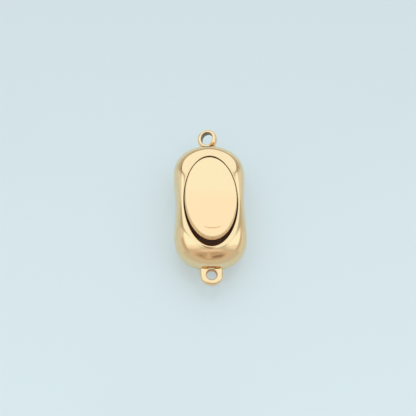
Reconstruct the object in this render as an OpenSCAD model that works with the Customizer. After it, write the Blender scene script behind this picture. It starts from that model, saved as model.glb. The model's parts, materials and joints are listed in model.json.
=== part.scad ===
// Push-button box clasp, lying on its flat back.
// Millimetres. X runs across, Y along the clasp towards the soldered ring, Z up.
// The origin is the middle of the flat back.

/* [Body] */
// Length of the body from end to end, without the two rings
body_l = 20.8; // [20.2:0.1:22]
// Width of the body at its waist
waist_w = 10.8; // [10.6:0.1:12]
// Swelling of the two lobes beyond the waist, as a share of its width
lobe_swell = 0.90; // [0.8:0.01:0.95]
// Share of that swelling that the very ends take back
end_taper = 0.40; // [0.35:0.01:0.45]
// Squareness of the two ends
end_square = 0.06; // [0.04:0.01:0.09]
// Height of the crown over the widest line
crown_h = 2.8; // [2.75:0.05:3.3]
// Depth of the belly under the widest line
belly_h = 3.65; // [3:0.05:3.8]
// Size of the flat back, as a share of the opening
back_share = 0.8; // [0.7:0.05:0.85]
// Thickness of the body's metal
wall = 0.7; // [0.6:0.05:0.8]

/* [Opening] */
// Width of the oval opening
open_w = 8.3; // [8:0.1:8.5]
// Length of the oval opening
open_l = 14.9; // [14.8:0.1:15.1]
// Distance of the opening's middle from the body's, towards the soldered ring
open_shift = 0.1; // [0.05:0.05:0.15]
// Softening of the opening's edge
rim_soft = 0.15; // [0.1:0.05:0.2]

/* [Button] */
// Gap round the button at its hinged end
gap = 0.12; // [0.1:0.02:0.2]
// Gap at the button's sides
side_gap = 0.2; // [0.18:0.02:0.26]
// Gap at the free end once the button is pressed level
press_gap = 0.17; // [0.15:0.01:0.25]
// Angle by which the free end stands up at rest
rest_tilt = 9; // [8:0.5:10]
// Thickness of the button at its edge
button_t = 1.15; // [1:0.05:1.2]
// Rise of the button's face from its edge to its middle
face_crown = 0.16; // [0.05:0.01:0.25]
// Depth of the hinge's axis under the face's edge
hinge_drop = 1.9; // [1.9:0.05:2]
// Distance of the hinge's axis from the body's middle
hinge_y = 6; // [5.8:0.1:6.2]

/* [Tongue] */
// Width of the tongue, and of its round eyelet
tongue_w = 3.4; // [3.2:0.1:3.6]
// Thickness of the eyelet
eyelet_t = 0.9; // [0.8:0.05:1]
// Distance of the eyelet's middle from the body's
eyelet_y = 11.2; // [11.2:0.05:11.5]
// Radius of the eyelet's hole
eyelet_hole_r = 0.84; // [0.8:0.01:0.86]
// Thickness of the blade inside the body
blade_t = 0.6; // [0.5:0.05:0.65]
// Reach of the blade past the body's middle
blade_reach = 1.5; // [1.2:0.1:2]
// Gap round the tongue in its slot
slot_gap = 0.06; // [0.05:0.01:0.1]

/* [Ring] */
// Outer radius of the soldered ring
ring_r = 1.45; // [1.4:0.01:1.5]
// Radius of the ring's hole
ring_hole_r = 0.93; // [0.9:0.01:0.98]
// Depth of the ring along its hole
ring_depth = 1.1; // [1:0.05:1.2]
// Distance of the ring's middle from the body's
ring_y = 11.75; // [11.7:0.05:11.85]
// Distance of the ring's middle from the middle of the body's end, to the left
ring_aside = 0.12; // [0:0.02:0.2]
// Height of the ring's middle over the widest line
ring_rise = 0.3; // [0:0.05:0.4]
// Lean of the ring to the side
ring_lean = 17; // [0:1:20]

/* [Hinge and catch] */
// Radius of the hinge pin
pin_r = 0.3; // [0.25:0.01:0.32]
// Radial gap of the pin in the button's bore
pin_play = 0.04; // [0.03:0.01:0.06]
// Radius of the catch's disc
disc_r = 0.8; // [0.7:0.02:0.82]
// Radius of the catch's neck
neck_r = 0.38; // [0.3:0.02:0.4]
// Thickness of the catch's disc
disc_t = 0.5; // [0.4:0.05:0.5]

/* [Hidden] */
gold = "gold";
bright_gold = "goldenrod";

// Directions round a skin, and rings along its parts
around = 72;
turns = [for (i = [0 : around - 1]) 360 * i / around];
crown_rings = 10;
belly_rings = 7;
inner_rings = 5;
exact = 64;

equator_z = belly_h;
rim_z = belly_h + crown_h;
open_low = open_shift - open_l / 2;
open_high = open_shift + open_l / 2;
bead = 0.05;
over = 1;

// The button in its own frame: hinge axis at the origin, face level
button_w = open_w - 2 * side_gap;
button_ahead = (open_high - gap - hinge_y - hinge_drop * sin(rest_tilt)) / cos(rest_tilt);
button_behind = hinge_y - open_low - press_gap;
button_l = button_ahead + button_behind;
button_mid = (button_ahead - button_behind) / 2;
button_under = hinge_drop - button_t;
edge_soft = 0.12;
hinge_z = rim_z + button_ahead * sin(rest_tilt) - hinge_drop * cos(rest_tilt);

// The hinge: a barrel under the button between two posts on the floor
barrel_r = 0.62;
barrel_l = 3.2;
post_gap = 0.15;
post_w = 1;
post_x = barrel_l / 2 + post_gap;
pin_seat = 0.01;

// The tongue, and the catch that holds it
eyelet_z = equator_z - eyelet_t / 2;
blade_z = eyelet_z + (eyelet_t - blade_t) / 2;
shoulder_y = -body_l / 2 + wall;
catch_y = -1;
catch_rise = (hinge_y - catch_y) * sin(rest_tilt);
catch_z = (blade_z + blade_t / 2 - hinge_z - catch_rise) / cos(rest_tilt);
keyhole_y = catch_y - 0.2;
keyhole_r = disc_r + 0.28;
key_slot_w = 2 * neck_r + 0.24;
rail_x = 1.2;
rail_w = 0.4;
rail_from = -6.5;
rail_to = 0.5;

// The solder foot between the body and the ring
foot_r = 0.45;
foot_from = body_l / 2 - wall;
foot_to = ring_y - ring_hole_r - 0.08;

// Outline of the body at its widest line, in the direction a
function outline(a) = [
    waist_w / 2 * cos(a) * (1 + lobe_swell * pow(sin(a), 2) - end_taper * pow(sin(a), 4)),
    body_l / 2 * sin(a) * (1 + end_square * pow(cos(a), 2))
];

// The same outline one wall further in
function inside(a) = let (p = outline(a)) p * (1 - wall / norm(p));

// The point of the opening's oval that faces the point p, grown or shrunk
function rim(p, grow = 0) = let (
    mid = [0, open_shift],
    a = atan2((p.y - open_shift) / open_l, p.x / open_w)
) mid + [(open_w / 2 + grow) * cos(a), (open_l / 2 + grow) * sin(a)];

// The flat back's oval, likewise
function back(p) = [0, open_shift * back_share] + (rim(p) - [0, open_shift]) * back_share;

// A quarter of an ellipse from the point e, at height h from the widest line, out to the point p on it
function quarter(e, p, h, t) = let (q = e + (p - e) * sin(t)) [q.x, q.y, equator_z + h * cos(t)];

function oval(w, l, z, y = 0) = [for (a = turns) [w / 2 * cos(a), y + l / 2 * sin(a), z]];

// A closed skin through rings of equal count, flat at its first and last ring
module skin(rings) {
    count = len(rings[0]);
    last = len(rings) - 1;
    polyhedron(
        points = [for (r = rings) for (p = r) p],
        faces = concat(
            [[for (i = [0 : count - 1]) i]],
            [for (j = [0 : last - 1]) for (i = [0 : count - 1])
                [j * count + i, (j + 1) * count + i, (j + 1) * count + (i + 1) % count]],
            [for (j = [0 : last - 1]) for (i = [0 : count - 1])
                [j * count + i, (j + 1) * count + (i + 1) % count, j * count + (i + 1) % count]],
            [[for (i = [count - 1 : -1 : 0]) last * count + i]]
        ),
        convexity = 6
    );
}

// The hollow body: up the outside from the back to the rim, and down the inside to the floor
module shell() {
    belly = [for (j = [0 : belly_rings]) 90 * j / belly_rings];
    crown = [for (j = [1 : crown_rings - 1]) 90 - 90 * j / crown_rings];
    inner = [for (j = [1 : inner_rings]) 90 * j / inner_rings];
    skin(concat(
        [for (t = belly) [for (a = turns) quarter(back(outline(a)), outline(a), -belly_h, t)]],
        [for (t = crown) [for (a = turns) quarter(rim(outline(a), rim_soft), outline(a), crown_h, t)]],
        [[for (a = turns) quarter(rim(outline(a), rim_soft), outline(a), crown_h, 0)]],
        [[for (a = turns) let (e = rim(outline(a))) [e.x, e.y, rim_z - rim_soft]]],
        [[for (a = turns) let (e = rim(outline(a))) [e.x, e.y, rim_z - wall]]],
        [for (t = inner) [for (a = turns) quarter(rim(outline(a)), inside(a), crown_h - wall, t)]],
        [for (j = [1 : inner_rings]) let (t = 90 - 90 * j / inner_rings)
            [for (a = turns) quarter(back(outline(a)), inside(a), wall - belly_h, t)]]
    ));
}

// A cylinder that lies along X, from x to x + l
module bar(x, l, r) {
    translate([x, 0, 0]) rotate([0, 90, 0]) cylinder(r = r, h = l, $fn = exact);
}

// Places its child in the ring's frame, with Z along the ring's hole
module at_ring() {
    translate([-ring_aside, ring_y, equator_z + ring_rise]) rotate([0, -ring_lean, 0]) children();
}

module soldered_ring() {
    at_ring() translate([0, 0, -ring_depth / 2]) cylinder(r = ring_r, h = ring_depth, $fn = exact);
    translate([-ring_aside, foot_from, equator_z + ring_rise]) rotate([-90, 0, 0])
        cylinder(r = foot_r, h = foot_to - foot_from, $fn = exact);
}

// Posts that carry the hinge pin, on the floor at both sides of the barrel
module hinge_posts() {
    for (x = [-post_x - post_w, post_x]) {
        translate([0, hinge_y, hinge_z]) bar(x, post_w, barrel_r);
        translate([x, hinge_y - barrel_r, wall / 2]) cube([post_w, 2 * barrel_r, hinge_z - wall / 2]);
    }
}

// Rails on the floor that carry the blade at both sides of the catch
module rails() {
    for (x = [-rail_x - rail_w, rail_x])
        translate([x, rail_from, wall / 2])
            cube([rail_w, rail_to - rail_from, blade_z - slot_gap - wall / 2]);
}

module housing() {
    color(gold) difference() {
        union() {
            shell();
            soldered_ring();
            hinge_posts();
            rails();
        }
        at_ring() translate([0, 0, -ring_depth / 2 - over])
            cylinder(r = ring_hole_r, h = ring_depth + 2 * over, $fn = exact);
        translate([-tongue_w / 2 - slot_gap, -body_l / 2 - over, eyelet_z - slot_gap])
            cube([tongue_w + 2 * slot_gap, wall + 2 * over, eyelet_t + 2 * slot_gap]);
        translate([0, hinge_y, hinge_z])
            bar(-post_x - post_w - over / 2, 2 * (post_x + post_w) + over, pin_r + pin_seat);
    }
}

// The button's plate, with a soft edge, a low crown and a chamfered underside
module plate() {
    top = hinge_drop;
    shares = [0.85, 0.65, 0.45, 0.25];
    skin(concat(
        [oval(button_w - 2 * edge_soft, button_l - 2 * edge_soft, button_under, button_mid)],
        [oval(button_w, button_l, button_under + edge_soft, button_mid)],
        [oval(button_w, button_l, top - edge_soft, button_mid)],
        [oval(button_w - 0.6 * edge_soft, button_l - 0.6 * edge_soft, top - 0.3 * edge_soft, button_mid)],
        [for (k = shares) oval((button_w - 2 * edge_soft) * k, (button_l - 2 * edge_soft) * k,
            top + face_crown * (1 - k * k), button_mid)]
    ));
}

module button() {
    color(bright_gold) translate([0, hinge_y, hinge_z]) rotate([-rest_tilt, 0, 0]) difference() {
        union() {
            plate();
            bar(-barrel_l / 2, barrel_l, barrel_r);
            translate([-barrel_l / 2, -barrel_r, 0]) cube([barrel_l, 2 * barrel_r, button_under + bead]);
            translate([0, catch_y - hinge_y, catch_z]) {
                cylinder(r = neck_r, h = button_under + bead - catch_z, $fn = exact);
                translate([0, 0, -disc_t / 2]) cylinder(r = disc_r, h = disc_t, $fn = exact);
            }
        }
        bar(-barrel_l / 2 - over, barrel_l + 2 * over, pin_r + pin_play);
    }
}

// The tongue: eyelet outside, a thinner blade with a keyhole inside
module tongue() {
    color(gold) difference() {
        union() {
            translate([0, -eyelet_y, eyelet_z]) cylinder(d = tongue_w, h = eyelet_t, $fn = exact);
            translate([-tongue_w / 2, -eyelet_y, eyelet_z])
                cube([tongue_w, eyelet_y + shoulder_y, eyelet_t]);
            translate([-tongue_w / 2, shoulder_y - bead, blade_z])
                cube([tongue_w, blade_reach - shoulder_y + bead, blade_t]);
        }
        translate([0, -eyelet_y, eyelet_z - over])
            cylinder(r = eyelet_hole_r, h = eyelet_t + 2 * over, $fn = exact);
        translate([0, keyhole_y, blade_z - over])
            cylinder(r = keyhole_r, h = blade_t + 2 * over, $fn = exact);
        translate([-key_slot_w / 2, keyhole_y, blade_z - over])
            cube([key_slot_w, blade_reach - keyhole_y + over, blade_t + 2 * over]);
    }
}

module hinge_pin() {
    color(bright_gold) translate([0, hinge_y, hinge_z]) bar(-post_x - post_w, 2 * (post_x + post_w), pin_r);
}

housing();
button();
tongue();
hinge_pin();
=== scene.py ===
"""A push-button box clasp in polished pale gold, lying on a plain pale table in soft light.

Lengths are millimetres in the clasp's own frame, and become metres when a piece is finished:
X runs across the clasp, Y along it towards the soldered ring, Z up from the middle of its back.
"""

from __future__ import annotations

import json
import logging
import math
from collections.abc import Callable, Iterator
from dataclasses import dataclass, field
from enum import Enum
from typing import ClassVar

import bmesh
import bpy
from mathutils import Matrix, Vector


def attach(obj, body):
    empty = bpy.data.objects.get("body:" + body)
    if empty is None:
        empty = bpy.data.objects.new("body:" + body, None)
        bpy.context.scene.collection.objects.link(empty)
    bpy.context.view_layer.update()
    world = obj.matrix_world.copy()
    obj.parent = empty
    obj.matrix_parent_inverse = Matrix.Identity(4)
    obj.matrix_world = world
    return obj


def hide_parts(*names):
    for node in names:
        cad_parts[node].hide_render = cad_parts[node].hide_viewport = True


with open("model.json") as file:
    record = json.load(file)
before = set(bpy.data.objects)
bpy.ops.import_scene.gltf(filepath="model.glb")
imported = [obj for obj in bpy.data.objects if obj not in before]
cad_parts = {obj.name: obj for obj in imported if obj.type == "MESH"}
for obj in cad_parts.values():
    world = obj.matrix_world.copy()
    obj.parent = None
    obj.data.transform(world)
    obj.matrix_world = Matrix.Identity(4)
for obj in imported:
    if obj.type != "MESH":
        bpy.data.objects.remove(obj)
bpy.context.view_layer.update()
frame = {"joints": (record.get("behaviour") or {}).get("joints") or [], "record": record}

MM = 0.001
LOG = logging.getLogger("button_clasp")
JOINT = frame["joints"][0]
MOUNTS = {mount["name"]: mount for mount in frame["record"]["mounts"]}

Place = Callable[[float], Vector]


class Body(Enum):
    """The two bodies that the pieces ride on."""

    CASE = "body"
    BUTTON = "push_button"


class Cut(Enum):
    """How one closed form is worked into another."""

    SOLDER = "UNION"
    BORE = "DIFFERENCE"


class WearAndPaintedLight(Enum):
    """The places that differ from the polished plate, each a mark of its own on a piece's faces: a redder
    ring, a darker bore, and places where shade, a highlight or a reflection is painted into the colour.
    """

    RED = "reddened"
    DARKER_BORE = "unpolished"
    PAINTED_BORE_SHADE = "tarnished"
    PAINTED_DEEP_SHADE = "deep"
    PAINTED_EDGE_LIGHT = "pale"
    PAINTED_GAP_SHADE = "stained"
    SOLDER_AND_PAINTED_GLINT = "soldered"


class Axis(Enum):
    """The directions that a turned part can lie along."""

    ACROSS = Matrix.Rotation(math.pi / 2, 4, "Y")
    ALONG = Matrix.Rotation(-math.pi / 2, 4, "X")
    UP = Matrix.Identity(4)


def smooth_step(low: float, high: float, value: float) -> float:
    """Eases from 0 at low to 1 at high.

    Args:
        low: Where the ease starts.
        high: Where it ends; it may lie below low.
        value: The place on the way.

    Returns:
        A share from 0 to 1.
    """
    share = min(1.0, max(0.0, (value - low) / (high - low)))
    return share * share * (3 - 2 * share)


class Wiring:
    """Adds and links the nodes of one material or of the studio's light."""

    def __init__(self, tree: bpy.types.NodeTree) -> None:
        """Starts from an empty tree.

        Args:
            tree: The node tree to fill.
        """
        self.tree = tree
        tree.nodes.clear()

    def add(self, kind: str, inputs: dict[str | int, object] | None = None,
            **settings: object) -> bpy.types.Node:
        """Adds a node, sets its properties, and sets or links its inputs.

        Args:
            kind: The node's type without its "ShaderNode" start.
            inputs: A value or an output socket for each input, by name or number.
            **settings: Properties of the node itself.

        Returns:
            The new node.
        """
        node = self.tree.nodes.new("ShaderNode" + kind)
        for name, value in settings.items():
            setattr(node, name, value)
        for name, value in (inputs or {}).items():
            if isinstance(value, bpy.types.NodeSocket):
                self.tree.links.new(value, node.inputs[name])
            else:
                node.inputs[name].default_value = value
        return node

    def times(self, first: bpy.types.NodeSocket, second: bpy.types.NodeSocket) -> bpy.types.NodeSocket:
        """Multiplies two numbers, and returns the product's socket."""
        return self.add("Math", {0: first, 1: second}, operation="MULTIPLY").outputs[0]

    def ease(self, value: bpy.types.NodeSocket, low: float, high: float) -> bpy.types.NodeSocket:
        """Eases a number from 0 at low to 1 at high, and returns its socket."""
        steps = {"Value": value, "From Min": low, "From Max": high}
        return self.add("MapRange", steps, interpolation_type="SMOOTHSTEP").outputs[0]


@dataclass(frozen=True)
class Gold:
    """A polished gold plate: its colour, its gloss, the marks of the polishing wheel, and the places where
    light or shade is painted into its colour.
    """

    slot: str
    tint: tuple[float, float, float]
    gloss: float = 0.055
    gloss_spread: float = 0.03
    smear_scale: float = 1.6
    smear_range: tuple[float, float] = (0.3, 0.7)
    hairline: float = 0.012
    hairline_depth: float = 0.05
    hairline_scale: float = 1.5
    hairline_stretch: tuple[float, float, float] = (9.0, 1.1, 9.0)
    cloud: float = 0.02
    cloud_scale: float = 0.35
    # painted reflection: the colour turns warmer towards the free end, -Y
    painted_warm_reflection: tuple[float, float, float] | None = None
    painted_warm_along: tuple[float, float] = (2.4, -0.8)
    raw_roughness: float = 0.5
    # a faint painted glow in the painted deep shade inside
    painted_inner_glow: tuple[float, float, float] = (0.018, 0.010, 0.007)
    # where two marks meet, the later one here covers the earlier
    WORN_AND_PAINTED: ClassVar[dict[WearAndPaintedLight, tuple[float, float, float]]] = {
        WearAndPaintedLight.RED: (0.93, 0.65, 0.37),
        # the solder joint, its orange partly a painted reflection
        WearAndPaintedLight.SOLDER_AND_PAINTED_GLINT: (0.78, 0.40, 0.12),
        # painted highlight: a paler tone on the button's edge wall
        WearAndPaintedLight.PAINTED_EDGE_LIGHT: (1.0, 0.71, 0.42),
        # the eyelet's bore: darker, redder and rougher
        WearAndPaintedLight.DARKER_BORE: (0.72, 0.42, 0.22),
        # painted shade on the inner walls and in the gap round the button
        WearAndPaintedLight.PAINTED_GAP_SHADE: (0.44, 0.22, 0.11),
        # painted shade in the ring's bore
        WearAndPaintedLight.PAINTED_BORE_SHADE: (0.30, 0.27, 0.23),
        # painted shade deep inside the body and under the button
        WearAndPaintedLight.PAINTED_DEEP_SHADE: (0.22, 0.12, 0.07),
    }
    ROUGH: ClassVar[frozenset[WearAndPaintedLight]] = frozenset(
        {WearAndPaintedLight.PAINTED_EDGE_LIGHT, WearAndPaintedLight.DARKER_BORE, WearAndPaintedLight.PAINTED_GAP_SHADE, WearAndPaintedLight.PAINTED_BORE_SHADE, WearAndPaintedLight.PAINTED_DEEP_SHADE})

    def material(self) -> bpy.types.Material:
        """Builds the material: soft clouding of colour, uneven gloss, fine hairlines, the marked places, a
        painted warm reflection where one is given and a painted glow deep inside; most marked places are
        painted shade, highlight or reflection.

        Returns:
            The material.
        """
        made = bpy.data.materials.new(self.slot)
        made.use_nodes = True
        nodes = Wiring(made.node_tree)
        place = nodes.add("TexCoord").outputs["Object"]
        near = nodes.add("Mapping", {"Vector": place, "Scale": (1 / MM,) * 3}).outputs[0]
        brushed = nodes.add("Mapping", {"Vector": near, "Scale": self.hairline_stretch}).outputs[0]
        clouds = nodes.add("TexNoise", {"Vector": near, "Scale": self.cloud_scale, "Detail": 3.0}).outputs[0]
        smears = nodes.add("TexNoise", {"Vector": near, "Scale": self.smear_scale, "Detail": 5.0}).outputs[0]
        lines = nodes.add("TexNoise", {"Vector": brushed, "Scale": self.hairline_scale, "Detail": 6.0,
                                       "Roughness": 0.7}).outputs[0]
        dark = tuple(c * (1 - 2 * self.cloud) for c in self.tint)
        colour = nodes.add("Mix", {0: clouds, 6: (*dark, 1), 7: (*self.tint, 1)}, data_type="RGBA").outputs[2]
        low, high = self.gloss - self.gloss_spread / 2, self.gloss + self.gloss_spread / 2
        least, most = self.smear_range
        gloss = nodes.add("MapRange", {"Value": smears, "From Min": least, "From Max": most,
                                       "To Min": low, "To Max": high}).outputs[0]
        bump = nodes.add("Bump", {"Height": lines, "Strength": self.hairline,
                                  "Distance": self.hairline_depth * MM}).outputs[0]
        # painted warm reflection, eased in towards -Y
        if self.painted_warm_reflection:
            along = nodes.add("SeparateXYZ", {0: near}).outputs["Y"]
            painted_warm_share = nodes.ease(along, *self.painted_warm_along)
            colour = nodes.add("Mix", {0: painted_warm_share, 6: colour, 7: (*self.painted_warm_reflection, 1)},
                               data_type="RGBA").outputs[2]
        # each mark mixes in its colour: a redder tone, a darker bore, or painted shade, highlight or
        # reflection
        for wear_or_light, tint in self.WORN_AND_PAINTED.items():
            share = nodes.add("Attribute", attribute_name=wear_or_light.value).outputs["Fac"]
            colour = nodes.add("Mix", {0: share, 6: colour, 7: (*tint, 1)}, data_type="RGBA").outputs[2]
            if wear_or_light in self.ROUGH:
                gloss = nodes.add("Mix", {0: share, 2: gloss, 3: self.raw_roughness}).outputs[0]
        # the painted deep shade also gets a faint painted glow
        inside = nodes.add("Attribute", attribute_name=WearAndPaintedLight.PAINTED_DEEP_SHADE.value).outputs["Fac"]
        painted_glow = nodes.add("VectorMath", {0: self.painted_inner_glow, "Scale": inside}, operation="SCALE").outputs[0]
        shader = nodes.add("BsdfPrincipled", {"Base Color": colour, "Metallic": 1.0, "Roughness": gloss,
                                              "Normal": bump, "Emission Color": painted_glow,
                                              "Emission Strength": 1.0})
        nodes.add("OutputMaterial", {"Surface": shader.outputs[0]})
        return made


@dataclass(frozen=True)
class Table:
    """The plain pale table that the clasp lies on; its own painted glow lifts its shadows and is brighter
    towards -Y.
    """

    tint: tuple[float, float, float] = (0.52, 0.61, 0.64)
    # painted light: the table's own glow, brighter towards -Y and dimmer towards +Y
    painted_glow: tuple[float, float, float] = (0.226, 0.280, 0.325)
    painted_glow_slope: float = 0.14
    painted_glow_span: float = 40.0
    roughness: float = 0.8
    lacquer_ior: float = 1.5
    lacquer_roughness: float = 0.15
    reach: float = 4000.0
    sides: int = 96

    def build(self) -> None:
        """Makes the table top as one wide sheet."""
        bm = bmesh.new()
        bmesh.ops.create_circle(bm, cap_ends=True, radius=self.reach * MM, segments=self.sides)
        mesh = bpy.data.meshes.new("table_top")
        bm.to_mesh(mesh)
        bm.free()
        top = bpy.data.objects.new("table_top", mesh)
        bpy.context.scene.collection.objects.link(top)
        made = bpy.data.materials.new("table_top")
        made.use_nodes = True
        nodes = Wiring(made.node_tree)
        place = nodes.add("TexCoord").outputs["Object"]
        along = nodes.add("SeparateXYZ", {0: place}).outputs["Y"]
        span, slope = self.painted_glow_span * MM, self.painted_glow_slope
        share = nodes.add("MapRange", {"Value": along, "From Min": -span, "From Max": span,
                                       "To Min": 1 + slope, "To Max": 1 - slope}).outputs[0]
        # painted glow, sloping along Y
        painted_glow = nodes.add("VectorMath", {0: self.painted_glow, "Scale": share}, operation="SCALE").outputs[0]
        matt = nodes.add("BsdfPrincipled", {"Base Color": (*self.tint, 1), "Roughness": self.roughness,
                                            "Specular IOR Level": 0.0, "Emission Color": painted_glow,
                                            "Emission Strength": 1.0})
        lacquer = nodes.add("BsdfAnisotropic", {"Color": (1, 1, 1, 1), "Roughness": self.lacquer_roughness})
        sheen = nodes.add("Fresnel", {"IOR": self.lacquer_ior}).outputs[0]
        top_coat = nodes.add("MixShader", {0: sheen, 1: matt.outputs[0], 2: lacquer.outputs[0]})
        nodes.add("OutputMaterial", {"Surface": top_coat.outputs[0]})
        mesh.materials.append(made)


@dataclass(frozen=True)
class Card:
    """One wall, seam or card of the light tent, as the clasp sees it.

    Its corners stand in order round it, each as a bearing and a fall in degrees. Bearings run from +X
    towards +Y, and falls are measured from straight up.
    """

    light: tuple[float, float, float]
    corners: tuple[tuple[float, float], ...]
    blur: float = 2.0

    def ways(self) -> list[Vector]:
        """The directions of the corners."""
        turns = [(math.radians(bearing), math.radians(fall)) for bearing, fall in self.corners]
        return [Vector((math.sin(f) * math.cos(b), math.sin(f) * math.sin(b), math.cos(f))) for b, f in turns]

    def sides(self) -> Iterator[Vector]:
        """Yields, for each side, the direction that points into the card at right angles to it."""
        ways = self.ways()
        middle = sum(ways, Vector())
        for here, there in zip(ways, ways[1:] + ways[:1]):
            across = here.cross(there).normalized()
            yield across if across.dot(middle) > 0 else -across


@dataclass(frozen=True)
class LightTent:
    """The white tent round the table: its cards, from the furthest back to the front one."""

    walls: tuple[float, float, float] = (0.65, 0.62, 0.56)
    cards: tuple[Card, ...] = (
        # the foot of the back wall, and the roof and side panels round it
        Card((0.54, 0.49, 0.43), ((143.5, 60), (144.5, 104), (36, 104), (38, 60)), 2.5),
        Card((1.06, 1.14, 1.14), ((88, 26), (134, 56), (141, 62), (154, 60), (160, 30), (168, 16),
                                  (130, 5)), 3),
        Card((1.06, 1.13, 1.13), ((92, 26), (46, 56), (39, 62), (26, 60), (18, 30), (14, 20), (50, 8)), 3),
        Card((1.06, 1.13, 1.13), ((135, 14), (45, 14), (88, 30), (92, 30)), 3),
        Card((0.86, 0.82, 0.77), ((154, 56), (144, 64), (145.5, 96), (158, 96)), 3),
        Card((0.86, 0.83, 0.79), ((26, 56), (37.5, 63), (35, 92), (22, 92)), 3),
        Card((1.10, 1.32, 1.32), ((110, 25.5), (124, 35), (137, 52), (150, 44), (140, 30), (122, 24)), 3),
        Card((1.08, 1.22, 1.22), ((66, 29), (53, 39), (45, 50), (37, 48), (40, 34), (56, 26)), 3),
        # the back wall between its corner seams
        Card((0.38, 0.31, 0.27), ((102.0, 25.7), (128.8, 42.5), (136.1, 53.5), (139.6, 65.5), (140.5, 80),
                                  (132, 80), (118, 58)), 0.7),
        Card((0.43, 0.36, 0.32), ((76.8, 25.6), (61.7, 31.7), (50.0, 43.4), (44.3, 52.7), (41.8, 63.4),
                                  (41.0, 78), (50, 80), (62, 58)), 0.7),
        Card((1.07, 1.13, 1.15), ((77.2, 26.4), (101.4, 26.9), (127.5, 43.3), (134.2, 54.4), (136.0, 64),
                                  (132, 71), (118, 79), (90, 80), (62, 83), (49, 76), (44.8, 64.5),
                                  (45.8, 53.4), (51.2, 44.1), (62.5, 32.4)), 0.7),
        # the side cards, and the gaps behind them
        Card((1.00, 0.91, 0.82), ((158, 10), (166, 30), (169, 50), (188, 53), (206, 51), (215, 34),
                                  (208, 12)), 4),
        Card((1.09, 1.22, 1.18), ((160, 12), (166, 28), (168, 44), (186, 47), (200, 45), (200, 28),
                                  (188, 12)), 6),
        Card((0.95, 0.89, 0.83), ((18, 20), (14, 61), (-10, 62), (-24, 59), (-27, 40), (-12, 22)), 4),
        Card((1.09, 1.20, 1.17), ((18, 20), (15, 57), (0, 59), (-12, 58), (-15, 40), (-4, 22)), 4),
        Card((1.09, 1.26, 1.22), ((151, 12), (157, 22), (162, 33), (166, 43), (173, 41), (172, 26),
                                  (168, 12)), 2),
        Card((0.80, 0.77, 0.69), ((164, 48), (163, 76), (178, 76), (177, 50)), 3),
        Card((0.75, 0.73, 0.66), ((162, 74), (162, 104), (205, 104), (205, 76)), 4),
        Card((0.80, 0.76, 0.68), ((14, 78), (14, 104), (-22, 104), (-21, 78)), 4),
        Card((0.54, 0.50, 0.44), ((147, 17), (153, 19), (161.5, 32), (164.5, 46), (160.5, 48),
                                  (156.5, 33)), 1.5),
        Card((0.51, 0.46, 0.39), ((158, 44), (163, 43), (165, 57), (164, 76), (157, 78), (155, 56)), 2.5),
        Card((0.54, 0.51, 0.44), ((30, 30), (24, 27), (17, 46), (16, 60), (18, 78), (24.5, 78), (28, 60)), 3),
        Card((0.58, 0.50, 0.42), ((178, 56), (178, 67), (216, 67), (216, 56)), 3.5),
        Card((0.60, 0.53, 0.47), ((6, 63), (6, 72), (-24, 71), (-24, 61)), 4),
        # the front, where the tent is open
        Card((0.88, 0.75, 0.67), ((200, 8), (222, 34), (318, 32), (348, 14), (30, 3), (180, 1)), 5),
        Card((0.73, 0.60, 0.50), ((216, 22), (214, 58), (240, 66), (270, 68), (300, 66), (330, 58), (330, 26),
                                  (270, 16)), 7),
        Card((0.55, 0.44, 0.34), ((226, 38), (228, 54), (246, 61), (270, 64), (298, 62), (314, 52), (318, 34),
                                  (304, 14), (284, 14)), 6),
        Card((0.34, 0.25, 0.19), ((276, 40), (277, 52), (302, 53), (310, 45), (298, 37)), 3),
        Card((0.44, 0.33, 0.23), ((236, 41), (249, 40), (250, 52), (239, 51)), 3.5),
        Card((0.69, 0.55, 0.43), ((258, 12), (258, 55), (271, 55), (272, 12)), 1.2),
        # the dark strip overhead, between the roof and the front
        Card((0.40, 0.31, 0.23), ((48, 4.5), (56, 11), (80, 13), (104, 12), (114, 9.5), (116, 4.5)), 1.4),
    )

    def build(self) -> None:
        """Fills the world with the tent's light."""
        world = bpy.data.worlds.new("light_tent")
        bpy.context.scene.world = world
        world.use_nodes = True
        nodes = Wiring(world.node_tree)
        way = nodes.add("TexCoord").outputs["Generated"]
        light = nodes.add("RGB").outputs[0]
        light.default_value = (*self.walls, 1)
        for card in self.cards:
            share = None
            reach = math.sin(math.radians(card.blur))
            for side in card.sides():
                inward = nodes.add("VectorMath", {0: way, 1: side}, operation="DOT_PRODUCT").outputs["Value"]
                edge = nodes.ease(inward, -reach, reach)
                share = edge if share is None else nodes.times(share, edge)
            light = nodes.add("Mix", {0: share, 6: light, 7: (*card.light, 1)}, data_type="RGBA").outputs[2]
        shade = nodes.add("Background", {"Color": light, "Strength": 1.0})
        nodes.add("OutputWorld", {"Surface": shade.outputs[0]})
        LOG.info("light tent: %d cards", len(self.cards))


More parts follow.
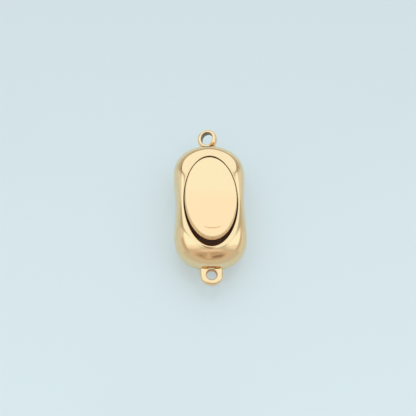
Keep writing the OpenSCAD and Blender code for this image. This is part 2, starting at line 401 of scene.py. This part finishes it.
@dataclass(frozen=True)
class Viewpoint:
    """Where the clasp is seen from."""

    lean: float = 23.0
    turn: float = -3.35
    roll: float = 1.42
    distance: float = 150.0
    pixels_per_mm: float = 6.41
    picture: int = 416
    centre_px: tuple[float, float] = (209.82, 207.41)
    sensor: float = 36.0

    def build(self, aim: Vector) -> None:
        """Sets up the camera.

        Args:
            aim: The point that the picture is centred on, a little to the side of its middle.
        """
        lean, turn, roll = (math.radians(a) for a in (self.lean, self.turn, self.roll))
        back = Vector((math.sin(turn), -math.sin(lean) * math.cos(turn), math.cos(lean) * math.cos(turn)))
        back.normalize()
        level = Vector((0, 1, 0)).cross(back).normalized()
        rise = back.cross(level)
        right = level * math.cos(roll) - rise * math.sin(roll)
        up = level * math.sin(roll) + rise * math.cos(roll)
        off = [(self.picture / 2 - p) / self.pixels_per_mm for p in self.centre_px]
        stand = aim + back * self.distance + right * off[0] - up * off[1]
        camera = bpy.data.cameras.new("camera")
        camera.lens = self.sensor * self.distance * self.pixels_per_mm / self.picture
        camera.sensor_width = self.sensor
        camera.clip_start, camera.clip_end = MM, 100.0
        held = bpy.data.objects.new("camera", camera)
        turned = Matrix((right, up, back)).transposed().to_4x4()
        held.matrix_world = Matrix.Translation(stand * MM) @ turned
        bpy.context.scene.collection.objects.link(held)
        bpy.context.scene.camera = held


class Bench:
    """Bench work that every piece shares: turned parts, blocks, solder and bores."""

    ON_AXIS: ClassVar[float] = 1e-6
    TURNED_WELD: ClassVar[float] = 1e-5
    WELD: ClassVar[float] = 1e-4
    SHARP_FROM: ClassVar[float] = 32.0
    TURNED_STEPS: ClassVar[int] = 8
    BLOCK_STEPS: ClassVar[int] = 6

    @staticmethod
    def row(bm: bmesh.types.BMesh, loop: list[bmesh.types.BMEdge], around: bmesh.types.BMLayerItem,
            place: Place) -> list[bmesh.types.BMEdge]:
        """Extrudes a closed loop of edges into the next row of a skin.

        Args:
            bm: The mesh being built.
            loop: The edges of the row so far.
            around: The layer that holds each point's direction round the piece.
            place: Gives the new row's point in a direction.

        Returns:
            The new row's edges.
        """
        made = bmesh.ops.extrude_edge_only(bm, edges=loop)["geom"]
        points = {p for p in made if isinstance(p, bmesh.types.BMVert)}
        for point in points:
            point.co = place(point[around])
        edges = [e for e in made if isinstance(e, bmesh.types.BMEdge)]
        return [e for e in edges if e.verts[0] in points and e.verts[1] in points]

    @staticmethod
    def skin(places: list[Place], sides: int) -> bmesh.types.BMesh:
        """Builds a closed skin through rows of points, capped flat at both ends.

        Args:
            places: A function for each row, which gives its point in a direction.
            sides: The number of points in a row.

        Returns:
            The closed skin.
        """
        bm = bmesh.new()
        around = bm.verts.layers.float.new("around")
        bmesh.ops.create_circle(bm, radius=1.0, segments=sides)
        for point in bm.verts:
            point[around] = math.atan2(point.co.y, point.co.x)
            point.co = places[0](point[around])
        first = loop = list(bm.edges)
        for place in places[1:]:
            loop = Bench.row(bm, loop, around, place)
        for end in (first, loop):
            bmesh.ops.contextual_create(bm, geom=end)
        bmesh.ops.recalc_face_normals(bm, faces=bm.faces)
        bm.verts.layers.float.remove(around)
        return bm

    @staticmethod
    def turned(profile: list[tuple[float, float]], lie: Axis, at: Vector, sides: int = 64,
               round_by: tuple[float, ...] = ()) -> bmesh.types.BMesh:
        """Turns a closed part on the lathe.

        Args:
            profile: The corners of the section, as radius and height, from the axis or round a bore.
            lie: The direction that the part's axis lies along.
            at: The point of the axis at height 0.
            sides: The steps round the axis.
            round_by: How far each corner of the section is rounded, where any is.

        Returns:
            The closed part.
        """
        bm = bmesh.new()
        corners = [bm.verts.new((radius, 0, height)) for radius, height in profile]
        bm.faces.new(corners)
        for corner, soft in zip(corners, round_by):
            if soft:
                bmesh.ops.bevel(bm, geom=[corner], offset=soft, offset_type="OFFSET",
                                segments=Bench.TURNED_STEPS, profile=0.5, affect="VERTICES", material=-1)
        section = next(iter(bm.faces))
        outline = [e for e in section.edges if max(v.co.x for v in e.verts) > Bench.ON_AXIS]
        bmesh.ops.delete(bm, geom=[section], context="FACES_ONLY")
        axis_line = [e for e in bm.edges if e not in outline]
        bmesh.ops.delete(bm, geom=axis_line, context="EDGES")
        bmesh.ops.spin(bm, geom=list(bm.edges) + list(bm.verts), cent=(0, 0, 0), axis=(0, 0, 1),
                       angle=math.tau, steps=sides, use_merge=True)
        bmesh.ops.remove_doubles(bm, verts=bm.verts, dist=Bench.TURNED_WELD)
        bmesh.ops.recalc_face_normals(bm, faces=bm.faces)
        bmesh.ops.transform(bm, matrix=Matrix.Translation(at) @ lie.value, verts=bm.verts)
        return bm

    @staticmethod
    def block(low: Vector, high: Vector, round_by: float = 0.0,
              along_only: bool = False) -> bmesh.types.BMesh:
        """Cuts a rectangular block.

        Args:
            low: Its lowest corner.
            high: Its highest corner.
            round_by: How far its edges are rounded.
            along_only: Whether only the edges that run along Y are rounded.

        Returns:
            The closed block.
        """
        bm = bmesh.new()
        size = Matrix.Diagonal((*(high - low), 1))
        bmesh.ops.create_cube(bm, size=1.0, matrix=Matrix.Translation((low + high) / 2) @ size)
        if round_by:
            edges = [e for e in bm.edges if not along_only
                     or abs(e.verts[0].co.y - e.verts[1].co.y) > (high.y - low.y) / 2]
            bmesh.ops.bevel(bm, geom=edges, offset=round_by, offset_type="OFFSET",
                            segments=Bench.BLOCK_STEPS, profile=0.5, affect="EDGES", material=-1)
        return bm

    @staticmethod
    def work(base: bmesh.types.BMesh, tool: bmesh.types.BMesh, how: Cut) -> bmesh.types.BMesh:
        """Solders one closed form to another, or bores it out of it.

        Args:
            base: The form that is kept.
            tool: The form that is added or taken away.
            how: Which of the two it is.

        Returns:
            The new closed form; the two given ones are used up.
        """
        made = []
        for bm in (base, tool):
            mesh = bpy.data.meshes.new("blank")
            bm.to_mesh(mesh)
            bm.free()
            made.append(bpy.data.objects.new("blank", mesh))
            bpy.context.scene.collection.objects.link(made[-1])
        step = made[0].modifiers.new("work", "BOOLEAN")
        step.operation, step.object, step.solver = how.value, made[1], "EXACT"
        bpy.context.view_layer.update()
        result = bmesh.new()
        result.from_object(made[0], bpy.context.evaluated_depsgraph_get())
        for blank in made:
            mesh = blank.data
            bpy.data.objects.remove(blank)
            bpy.data.meshes.remove(mesh)
        return result

    @staticmethod
    def mark(bm: bmesh.types.BMesh, wear_or_light: WearAndPaintedLight, test: Callable[[Vector, Vector], bool]) -> None:
        """Marks some faces of a piece in one way: with a tone of their own, or with light or shade painted
        into their colour.

        Args:
            bm: The piece.
            wear_or_light: The mark, a tone of its own or painted light or shade.
            test: Tells from a face's middle and its normal whether it is marked.
        """
        layer = bm.faces.layers.float.get(wear_or_light.value) or bm.faces.layers.float.new(wear_or_light.value)
        bm.normal_update()
        for face in bm.faces:
            if test(face.calc_center_median(), face.normal):
                face[layer] = 1.0

    @staticmethod
    def finish(bm: bmesh.types.BMesh, name: str, gold: Gold, body: Body, node: str) -> None:
        """Makes a finished piece of a mesh, dressed, riding on its body and standing for its solid.

        Args:
            bm: The mesh, in millimetres in the clasp's frame, which is used up.
            name: The piece's name.
            gold: Its finish.
            body: What it moves with.
            node: The solid that it stands for.
        """
        bmesh.ops.remove_doubles(bm, verts=bm.verts, dist=Bench.WELD)
        bmesh.ops.scale(bm, vec=(MM,) * 3, verts=bm.verts)
        mesh = bpy.data.meshes.new(name)
        bm.to_mesh(mesh)
        bm.free()
        mesh.polygons.foreach_set("use_smooth", [True] * len(mesh.polygons))
        mesh.set_sharp_from_angle(angle=math.radians(Bench.SHARP_FROM))
        mesh.materials.append(gold.material())
        piece = bpy.data.objects.new(name, mesh)
        bpy.context.scene.collection.objects.link(piece)
        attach(piece, body.value)
        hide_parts(node)
        LOG.info("%s: %d faces", name, len(mesh.polygons))


@dataclass(frozen=True)
class Pebble:
    """The body's form: its outline at the widest line, and the curves that close it above and below."""

    length: float = 20.8
    waist: float = 10.8
    swell: float = 0.90
    taper: float = 0.40
    squareness: float = 0.06
    crown: float = 2.8
    belly: float = 3.65
    back_share: float = 0.8
    wall: float = 0.7
    open_width: float = 8.3
    open_length: float = 14.9
    open_shift: float = 0.1
    rim_soft: float = 0.11

    @property
    def rim_z(self) -> float:
        """The height of the opening's edge."""
        return self.belly + self.crown

    def outline(self, a: float) -> Vector:
        """Finds a point of the widest line.

        Args:
            a: Its direction round the body.

        Returns:
            The point.
        """
        sine, cosine = math.sin(a), math.cos(a)
        wide = self.waist / 2 * cosine * (1 + self.swell * sine**2 - self.taper * sine**4)
        return Vector((wide, self.length / 2 * sine * (1 + self.squareness * cosine**2), self.belly))

    def inside(self, a: float) -> Vector:
        """Finds a point one wall further in than the widest line.

        Args:
            a: Its direction round the body.

        Returns:
            The point.
        """
        out = self.outline(a)
        share = 1 - self.wall / out.xy.length
        return Vector((out.x * share, out.y * share, out.z))

    def rim(self, a: float, grow: float = 0.0) -> Vector:
        """The point of the opening's oval that faces the outline's point in the direction a.

        Args:
            a: The direction.
            grow: How far the oval is grown.

        Returns:
            The point, at the height of the widest line.
        """
        out = self.outline(a)
        t = math.atan2((out.y - self.open_shift) / self.open_length, out.x / self.open_width)
        return Vector(((self.open_width / 2 + grow) * math.cos(t),
                       self.open_shift + (self.open_length / 2 + grow) * math.sin(t), self.belly))

    def back(self, a: float) -> Vector:
        """The point of the flat back's oval in the direction a, at the height of the widest line."""
        edge = self.rim(a)
        return Vector((edge.x * self.back_share, edge.y * self.back_share, edge.z))

    def quarter(self, edge: Vector, out: Vector, height: float, t: float) -> Vector:
        """A point of the quarter ellipse that closes the form from out to edge.

        Args:
            edge: Where the curve ends, over or under the widest line.
            out: Where it starts, on the widest line.
            height: How far the edge is above the widest line.
            t: From 0 at the edge to a quarter turn at the widest line.

        Returns:
            The point.
        """
        point = edge + (out - edge) * math.sin(t)
        return Vector((point.x, point.y, self.belly + height * math.cos(t)))


@dataclass
class Stem:
    """The section of the tongue's eyelet, which the slot follows too."""

    half_width: float = 1.74
    rounding: float = 0.30
    hole_closed_by: float = 0.05

    def __post_init__(self) -> None:
        """Takes the eyelet's place, hole and thickness from its mount."""
        mount = MOUNTS["eyelet_hole"]
        self.centre = Vector(mount["pos_m"]) / MM
        self.hole = mount["dims"]["r_mm"] - self.hole_closed_by
        self.half_thickness = mount["dims"]["length_mm"] / 2

    def block(self, start: float, end: float, grow: float = 0.0) -> bmesh.types.BMesh:
        """Cuts a straight length of the stem.

        Args:
            start: Where it starts along Y.
            end: Where it ends.
            grow: How far the section is grown.

        Returns:
            The closed block.
        """
        corner = Vector((self.half_width + grow, 0, self.half_thickness + grow))
        low = Vector((0, start, self.centre.z)) - corner
        high = Vector((0, end, self.centre.z)) + corner
        return Bench.block(low, high, self.rounding + grow, along_only=True)


@dataclass
class Housing:
    """The hollow body with its soldered ring, and the posts and rails inside it."""

    form: Pebble
    stem: Stem
    gold: Gold
    sides: int = 208
    crown_rows: int = 34
    belly_rows: int = 26
    inner_rows: int = 10
    rim_rows: int = 6
    ring_radius: float = 1.53
    ring_stretch: float = 1.06
    ring_hole_stretch: float = 1.17
    ring_sunk: float = 0.11
    ring_round: float = 0.30
    ring_hole_round: float = 0.12
    # where the solder joint's painted orange reflection sits, from the ring's centre
    solder_glint_at: Vector = field(default_factory=lambda: Vector((0.66, -1.16, 0.62)))
    solder_glint_reach: float = 0.42
    ring_sides: int = 96
    foot_radius: float = 0.5
    foot_flare: float = 0.05
    foot_flare_reach: float = 0.35
    foot_in_ring: float = 0.1
    foot_rows: int = 10
    foot_sides: int = 48
    barrel_radius: float = 0.62
    post_from: float = 1.75
    post_width: float = 1.0
    pin_seat: float = 0.31
    rail_from: Vector = field(default_factory=lambda: Vector((1.2, -6.5, 0.35)))
    rail_to: Vector = field(default_factory=lambda: Vector((1.6, 0.5, 3.29)))
    slot_gap: float = 0.03
    cut_past: float = 1.0
    pin_bore_past: float = 0.5
    bore_mark_past: float = 0.06
    # the height above the back where the painted shade inside the body starts
    painted_shade_from: float = 0.1
    fittings_within_y: float = 7.0
    fittings_z: tuple[float, float] = (0.69, 5.6)

    def places(self) -> Iterator[Place]:
        """Yields the skin's rows, from the back up the outside, over the rim and down the inside."""
        f = self.form
        quarter_turn = math.pi / 2
        soft = f.rim_soft
        for j in range(self.belly_rows + 1):
            t = quarter_turn * j / self.belly_rows
            yield lambda a, t=t: f.quarter(f.back(a), f.outline(a), -f.belly, t)
        for j in range(1, self.crown_rows + 1):
            t = quarter_turn * (1 - j / self.crown_rows)
            yield lambda a, t=t: f.quarter(f.rim(a, soft), f.outline(a), f.crown, t)
        for j in range(1, self.rim_rows + 1):
            t = quarter_turn * j / self.rim_rows
            yield lambda a, t=t: (f.rim(a, soft * (1 - math.sin(t)))
                                  + Vector((0, 0, f.crown - soft * (1 - math.cos(t)))))
        yield lambda a: f.rim(a) + Vector((0, 0, f.crown - f.wall))
        for j in range(1, self.inner_rows + 1):
            t = quarter_turn * j / self.inner_rows
            yield lambda a, t=t: f.quarter(f.rim(a), f.inside(a), f.crown - f.wall, t)
        for j in range(1, self.inner_rows + 1):
            t = quarter_turn * (1 - j / self.inner_rows)
            yield lambda a, t=t: f.quarter(f.back(a), f.inside(a), f.wall - f.belly, t)

    def slot(self) -> bmesh.types.BMesh:
        """Shapes the tongue's slot through the wall: the stem's own section, a little grown.

        Returns:
            The form to be cut away.
        """
        end = self.form.length / 2
        return self.stem.block(-end - self.cut_past, -end + 2 * self.form.wall, self.slot_gap)

    def ring(self) -> bmesh.types.BMesh:
        """Turns the soldered ring round its leaning hole.

        Returns:
            The closed ring.
        """
        mount = MOUNTS["end_ring_hole"]
        hole, half = mount["dims"]["r_mm"], mount["dims"]["length_mm"] / 2
        profile = [(hole, -half), (self.ring_radius, -half), (self.ring_radius, half), (hole, half)]
        soft, fine = self.ring_round, self.ring_hole_round
        bm = Bench.turned(profile, Axis.UP, Vector(), self.ring_sides, (fine, soft, soft, fine))
        for point in bm.verts:
            outer = smooth_step(hole, self.ring_radius, point.co.xy.length)
            point.co.y *= self.ring_hole_stretch + (self.ring_stretch - self.ring_hole_stretch) * outer
        lean = Vector((0, 0, 1)).rotation_difference(Vector(mount["axis"])).to_matrix().to_4x4()
        centre = Vector(mount["pos_m"]) / MM - Vector((0, self.ring_sunk, 0))
        bmesh.ops.transform(bm, matrix=Matrix.Translation(centre) @ lean, verts=bm.verts)
        return bm

    def foot(self) -> bmesh.types.BMesh:
        """Turns the solder between the body and the ring: a waisted spool.

        Returns:
            The closed spool.
        """
        mount = MOUNTS["end_ring_hole"]
        centre = Vector(mount["pos_m"]) / MM
        start = self.form.length / 2 - self.form.wall / 2
        low = centre.y - self.ring_sunk
        end = low - mount["dims"]["r_mm"] * self.ring_hole_stretch - self.foot_in_ring
        contact = low - self.ring_radius * self.ring_stretch
        profile = [(0.0, start)]
        for j in range(self.foot_rows + 1):
            y = start + (end - start) * j / self.foot_rows
            away = min(1.0, abs(y - contact) / self.foot_flare_reach)
            profile.append((self.foot_radius + self.foot_flare * away**2, y))
        profile.append((0.0, end))
        return Bench.turned(profile, Axis.ALONG, Vector((centre.x, 0, centre.z)), self.foot_sides)

    def fittings(self) -> Iterator[bmesh.types.BMesh]:
        """Yields the posts of the hinge and the rails under the blade."""
        hinge = Vector(JOINT["pos_m"]) / MM
        floor = self.form.wall / 2
        for side in (-1, 1):
            near, far = side * self.post_from, side * (self.post_from + self.post_width)
            low_x, high_x = min(near, far), max(near, far)
            profile = [(0, low_x), (self.barrel_radius, low_x), (self.barrel_radius, high_x), (0, high_x)]
            yield Bench.turned(profile, Axis.ACROSS, hinge)
            yield Bench.block(Vector((low_x, hinge.y - self.barrel_radius, floor)),
                              Vector((high_x, hinge.y + self.barrel_radius, hinge.z)))
            low, high = self.rail_from, self.rail_to
            near, far = sorted((side * low.x, side * high.x))
            yield Bench.block(Vector((near, low.y, low.z)), Vector((far, high.y, high.z)))

    def build(self) -> None:
        """Builds the housing as one soldered piece."""
        bm = Bench.skin(list(self.places()), self.sides)
        for part in (self.foot(), self.ring(), *self.fittings()):
            bm = Bench.work(bm, part, Cut.SOLDER)
        bm = Bench.work(bm, self.slot(), Cut.BORE)
        hinge = Vector(JOINT["pos_m"]) / MM
        reach = self.post_from + self.post_width + self.pin_bore_past
        bore = [(0, -reach), (self.pin_seat, -reach), (self.pin_seat, reach), (0, reach)]
        bm = Bench.work(bm, Bench.turned(bore, Axis.ACROSS, hinge), Cut.BORE)
        self.mark_wear_and_shade(bm)
        Bench.finish(bm, "housing_shell", self.gold, Body.CASE, "housing")

    def mark_wear_and_shade(self, bm: bmesh.types.BMesh) -> None:
        """Marks the redder ring, the solder joint with an orange reflection painted on it, painted shade in
        the ring's bore, and painted shade on the inside, darker deep down.

        Args:
            bm: The finished housing.
        """
        f = self.form
        middle = Vector((0, 0, f.belly))
        mount = MOUNTS["end_ring_hole"]
        centre, way = Vector(mount["pos_m"]) / MM - Vector((0, self.ring_sunk, 0)), Vector(mount["axis"])
        bore = mount["dims"]["r_mm"] + self.bore_mark_past
        low, high = self.fittings_z

        def inner(at: Vector, normal: Vector) -> bool:
            """Tells whether a face is inside the body: a wall that faces its middle, or a post or rail."""
            within = self.painted_shade_from < at.z < f.rim_z - f.rim_soft / 3 and abs(at.y) < f.length / 2
            beside = abs(at.x) < self.post_from + self.post_width and abs(at.y) < self.fittings_within_y
            return within and (beside and low < at.z < high or normal.dot(at - middle) < 0)

        def in_bore(at: Vector, normal: Vector) -> bool:
            """Tells whether a face is in the ring's hole."""
            off = at - centre
            off -= way * off.dot(way)
            return math.hypot(off.x, off.y / self.ring_hole_stretch, off.z) < bore

        Bench.mark(bm, WearAndPaintedLight.RED, lambda at, normal: at.y > f.length / 2)
        # the solder joint, with an orange reflection painted onto it
        solder = centre + self.solder_glint_at
        Bench.mark(bm, WearAndPaintedLight.SOLDER_AND_PAINTED_GLINT, lambda at, normal: (at - solder).length < self.solder_glint_reach)
        # paint shade into the ring's bore
        Bench.mark(bm, WearAndPaintedLight.PAINTED_BORE_SHADE, in_bore)
        # paint brown shade over the inside walls, posts and rails
        Bench.mark(bm, WearAndPaintedLight.PAINTED_GAP_SHADE, inner)
        # paint darker shade deep inside the body
        Bench.mark(bm, WearAndPaintedLight.PAINTED_DEEP_SHADE, lambda at, normal: inner(at, normal) and at.z < f.rim_z - f.wall)


@dataclass
class PushButton:
    """The oval button: a thin crowned plate with its hinge barrel and its catch under it."""

    form: Pebble
    gold: Gold
    side_gap: float = 0.15
    aside: float = -0.03
    hinge_gap: float = 0.18
    press_gap: float = 0.07
    hinge_drop: float = 1.9
    thickness: float = 1.15
    crown: float = 0.16
    edge_in: float = 0.18
    hinge_fade: float = 0.6
    hinge_fade_over: tuple[float, float] = (0.3, 0.95)
    end_fade: float = 0.7
    end_fade_over: tuple[float, float] = (-0.6, -1.0)
    edge_down: float = 0.30
    under_soft: float = 0.12
    sides: int = 256
    edge_rows: int = 12
    under_rows: int = 4
    thumb_line_from_end: float = 1.45
    thumb_line_radius: float = 2.95
    thumb_line_half: float = 2.1
    thumb_line_full: float = 0.35
    thumb_line_depth: float = 0.05
    thumb_line_width: float = 0.06
    barrel_radius: float = 0.62
    barrel_half: float = 1.6
    barrel_bore: float = 0.34
    catch_y: float = -1.0
    blade_top_z: float = 3.95
    disc_radius: float = 0.8
    disc_thickness: float = 0.5
    neck_radius: float = 0.38
    catch_sides: int = 48
    web_past_bore: float = 0.1
    solder_lap: float = 0.05
    mark_over: float = 0.1
    # the face's rows, from its edge inwards, close together where the thumb line runs
    FACE_SHARES: ClassVar[tuple[float, ...]] = (
        *(1 - 0.02 * j for j in range(3)), *(0.95 - 0.003 * j for j in range(74)),
        *(0.7 - 0.05 * j for j in range(14)))

    def __post_init__(self) -> None:
        """Works out the plate's place in the button's own frame, hinge at the origin and face level."""
        self.hinge = Vector(JOINT["pos_m"]) / MM
        self.tilt = math.radians(JOINT["range_deg"][1])
        half_open, shift = self.form.open_length / 2, self.form.open_shift
        ahead = half_open + shift - self.hinge_gap - self.hinge.y - self.hinge_drop * math.sin(self.tilt)
        self.ahead = ahead / math.cos(self.tilt)
        self.behind = self.hinge.y + half_open - shift - self.press_gap
        self.half_length = (self.ahead + self.behind) / 2
        self.half_width = self.form.open_width / 2 - self.side_gap
        self.middle = (self.ahead - self.behind) / 2
        self.under = self.hinge_drop - self.thickness

    def edge(self, a: float) -> float:
        """Works out how far the rounded edge reaches in, which is less at the plate's two ends.

        Args:
            a: The direction.

        Returns:
            The distance.
        """
        fine = max(self.hinge_fade * smooth_step(*self.hinge_fade_over, math.sin(a)),
                   self.end_fade * smooth_step(*self.end_fade_over, math.sin(a)))
        return self.edge_in * (1 - fine)

    def oval(self, a: float, inset: float, share: float, z: float) -> Vector:
        """A point of an oval of the plate.

        Args:
            a: The direction.
            inset: How far the oval lies inside the plate's edge.
            share: Its size as a share of that oval.
            z: Its height.

        Returns:
            The point.
        """
        x = self.aside + (self.half_width - inset) * share * math.cos(a)
        return Vector((x, self.middle + (self.half_length - inset) * share * math.sin(a), z))

    def face(self, a: float, share: float) -> Vector:
        """A point of the crowned face, with the fine thumb line near its free end.

        Args:
            a: The direction.
            share: How far out the point lies, from 0 in the middle to 1 at the rounded edge.

        Returns:
            The point.
        """
        point = self.oval(a, self.edge(a), share, self.hinge_drop + self.crown * (1 - share**2) ** 2)
        low = self.middle - self.half_length + self.thumb_line_from_end
        off = math.hypot(point.x, point.y - low - self.thumb_line_radius) - self.thumb_line_radius
        if point.y < low + self.thumb_line_radius:
            full = self.thumb_line_half * self.thumb_line_full
            fade = smooth_step(self.thumb_line_half, full, abs(point.x))
            point.z -= self.thumb_line_depth * fade * math.exp(-((off / self.thumb_line_width) ** 2))
        return point

    def places(self) -> Iterator[Place]:
        """Yields the plate's rows, from the underside round the edge to the middle of the face."""
        top, soft = self.hinge_drop, self.under_soft
        quarter_turn = math.pi / 2
        for j in range(self.under_rows + 1):
            t = quarter_turn * j / self.under_rows
            yield lambda a, t=t: self.oval(a, soft * (1 - math.sin(t)), 1,
                                           self.under + soft * (1 - math.cos(t)))
        for j in range(self.edge_rows):
            t = quarter_turn * j / self.edge_rows
            yield lambda a, t=t: self.oval(a, self.edge(a) * (1 - math.cos(t)), 1,
                                           top - self.edge_down * (1 - math.sin(t)))
        for share in self.FACE_SHARES:
            yield lambda a, share=share: self.face(a, share)

    def build(self) -> None:
        """Builds the button and stands its free end up."""
        bm = Bench.skin(list(self.places()), self.sides)
        plate_low = self.under + self.solder_lap
        around = [(self.barrel_bore, -self.barrel_half), (self.barrel_radius, -self.barrel_half),
                  (self.barrel_radius, self.barrel_half), (self.barrel_bore, self.barrel_half)]
        web_low = self.barrel_bore + self.web_past_bore
        web = Bench.block(Vector((-self.barrel_half, -self.barrel_radius, web_low)),
                          Vector((self.barrel_half, self.barrel_radius, plate_low)))
        bm = Bench.work(bm, web, Cut.SOLDER)
        bm = Bench.work(bm, Bench.turned(around, Axis.ACROSS, Vector()), Cut.SOLDER)
        rise = (self.hinge.y - self.catch_y) * math.sin(self.tilt)
        catch_z = (self.blade_top_z - self.hinge.z - rise) / math.cos(self.tilt)
        half = self.disc_thickness / 2
        catch = [(0, catch_z - half), (self.disc_radius, catch_z - half), (self.disc_radius, catch_z + half),
                 (self.neck_radius, catch_z + half), (self.neck_radius, plate_low), (0, plate_low)]
        foot = Vector((0, self.catch_y - self.hinge.y, 0))
        bm = Bench.work(bm, Bench.turned(catch, Axis.UP, foot, self.catch_sides), Cut.SOLDER)
        edge = self.hinge_drop - self.edge_down
        # paint a paler highlight on the plate's edge wall and underside
        Bench.mark(bm, WearAndPaintedLight.PAINTED_EDGE_LIGHT, lambda at, normal: at.z < edge + self.mark_over)
        # paint shade under the button's plate
        Bench.mark(bm, WearAndPaintedLight.PAINTED_DEEP_SHADE, lambda at, normal: at.z < self.under + self.mark_over)
        stand = Matrix.Translation(self.hinge) @ Matrix.Rotation(-self.tilt, 4, "X")
        bmesh.ops.transform(bm, matrix=stand, verts=bm.verts)
        Bench.finish(bm, "push_button_plate", self.gold, Body.BUTTON, "button")


@dataclass
class Tongue:
    """The tongue: a round-edged eyelet outside the body and a thinner blade with a keyhole inside."""

    form: Pebble
    stem: Stem
    gold: Gold
    hole_round: float = 0.12
    end_flattened: float = 0.07
    stem_bore: float = 1.25
    blade_low: float = 3.35
    blade_high: float = 3.95
    blade_end: float = 1.5
    blade_ease: float = 0.08
    keyhole_y: float = -1.2
    keyhole_radius: float = 1.08
    key_slot_half: float = 0.5
    blade_lap: float = 0.05
    cut_past: float = 1.0
    keyhole_cut: float = 2.0
    sides: int = 96

    def eyelet(self) -> bmesh.types.BMesh:
        """Turns the eyelet, and solders on the straight stem behind it.

        Returns:
            The closed eyelet.
        """
        s = self.stem
        half, wide, soft, fine = s.half_thickness, s.half_width, s.rounding, self.hole_round
        profile = [(s.hole, -half), (wide, -half), (wide, half), (s.hole, half)]
        bm = Bench.turned(profile, Axis.UP, s.centre, self.sides, (fine, soft, soft, fine))
        for point in bm.verts:
            off = point.co.y - s.centre.y
            outer = smooth_step(s.hole + self.hole_round, s.half_width, math.hypot(point.co.x, off))
            if off < 0:
                point.co.y = s.centre.y + off * (1 - self.end_flattened * outer)
        stem = s.block(s.centre.y, -self.form.length / 2 + self.form.wall)
        reach = half + self.cut_past
        bore = [(0, -reach), (self.stem_bore, -reach), (self.stem_bore, reach), (0, reach)]
        stem = Bench.work(stem, Bench.turned(bore, Axis.UP, s.centre, self.sides), Cut.BORE)
        return Bench.work(bm, stem, Cut.SOLDER)

    def blade(self) -> bmesh.types.BMesh:
        """Cuts the blade, with the keyhole and the slot that runs out of its tip.

        Returns:
            The closed blade.
        """
        start = -self.form.length / 2 + self.form.wall - self.blade_lap
        low = Vector((-self.stem.half_width, start, self.blade_low))
        high = Vector((self.stem.half_width, self.blade_end, self.blade_high))
        bm = Bench.block(low, high, self.blade_ease)
        radius, deep, past = self.keyhole_radius, self.keyhole_cut, self.cut_past
        keyhole = [(0, 0), (radius, 0), (radius, deep), (0, deep)]
        at = Vector((0, self.keyhole_y, self.blade_low - past))
        bm = Bench.work(bm, Bench.turned(keyhole, Axis.UP, at), Cut.BORE)
        half = self.key_slot_half
        slot = Bench.block(Vector((-half, self.keyhole_y, self.blade_low - past)),
                           Vector((half, self.blade_end + past, self.blade_high + past)))
        return Bench.work(bm, slot, Cut.BORE)

    def build(self) -> None:
        """Builds the tongue as one piece."""
        bm = Bench.work(self.eyelet(), self.blade(), Cut.SOLDER)
        inside = -self.form.length / 2 + self.form.wall
        bore = self.stem.hole + self.hole_round
        # the eyelet's bore is darker, redder and rougher
        Bench.mark(bm, WearAndPaintedLight.DARKER_BORE, lambda at, normal: (at - self.stem.centre).xy.length < bore)
        # paint shade on the blade inside the body
        Bench.mark(bm, WearAndPaintedLight.PAINTED_DEEP_SHADE, lambda at, normal: at.y > inside)
        Bench.finish(bm, "tongue_eyelet", self.gold, Body.CASE, "tongue")


@dataclass
class HingePin:
    """The plain pin that the button turns on."""

    gold: Gold
    radius: float = 0.3
    half_length: float = 2.75
    end_round: float = 0.06
    sides: int = 48

    def build(self) -> None:
        """Builds the pin with softly rounded ends."""
        end, radius = self.half_length, self.radius
        profile = [(0, -end), (radius, -end), (radius, end), (0, end)]
        soft = self.end_round
        bm = Bench.turned(profile, Axis.ACROSS, Vector(JOINT["pos_m"]) / MM, self.sides, (0, soft, soft, 0))
        Bench.finish(bm, "hinge_pin_rod", self.gold, Body.CASE, "hinge_pin")


def main() -> None:
    """Builds the studio, then the clasp piece by piece."""
    logging.basicConfig(level=logging.INFO, format="%(message)s")
    bpy.context.scene.view_settings.view_transform = "Standard"
    form = Pebble()
    Table().build()
    LightTent().build()
    Viewpoint().build(Vector((0, 0, form.belly)))
    case_gold = Gold("housing_gold", (0.92, 0.72, 0.44))
    stem = Stem()
    Housing(form, stem, case_gold).build()
    # the button's warmer colour towards its free end is a painted reflection
    PushButton(form, Gold("button_gold", (0.93, 0.74, 0.45), painted_warm_reflection=(0.93, 0.69, 0.41))).build()
    Tongue(form, stem, Gold("tongue_gold", (0.92, 0.71, 0.43))).build()
    HingePin(Gold("pin_gold", (0.86, 0.66, 0.38), gloss=0.18)).build()


if __name__ == "__main__":
    main()
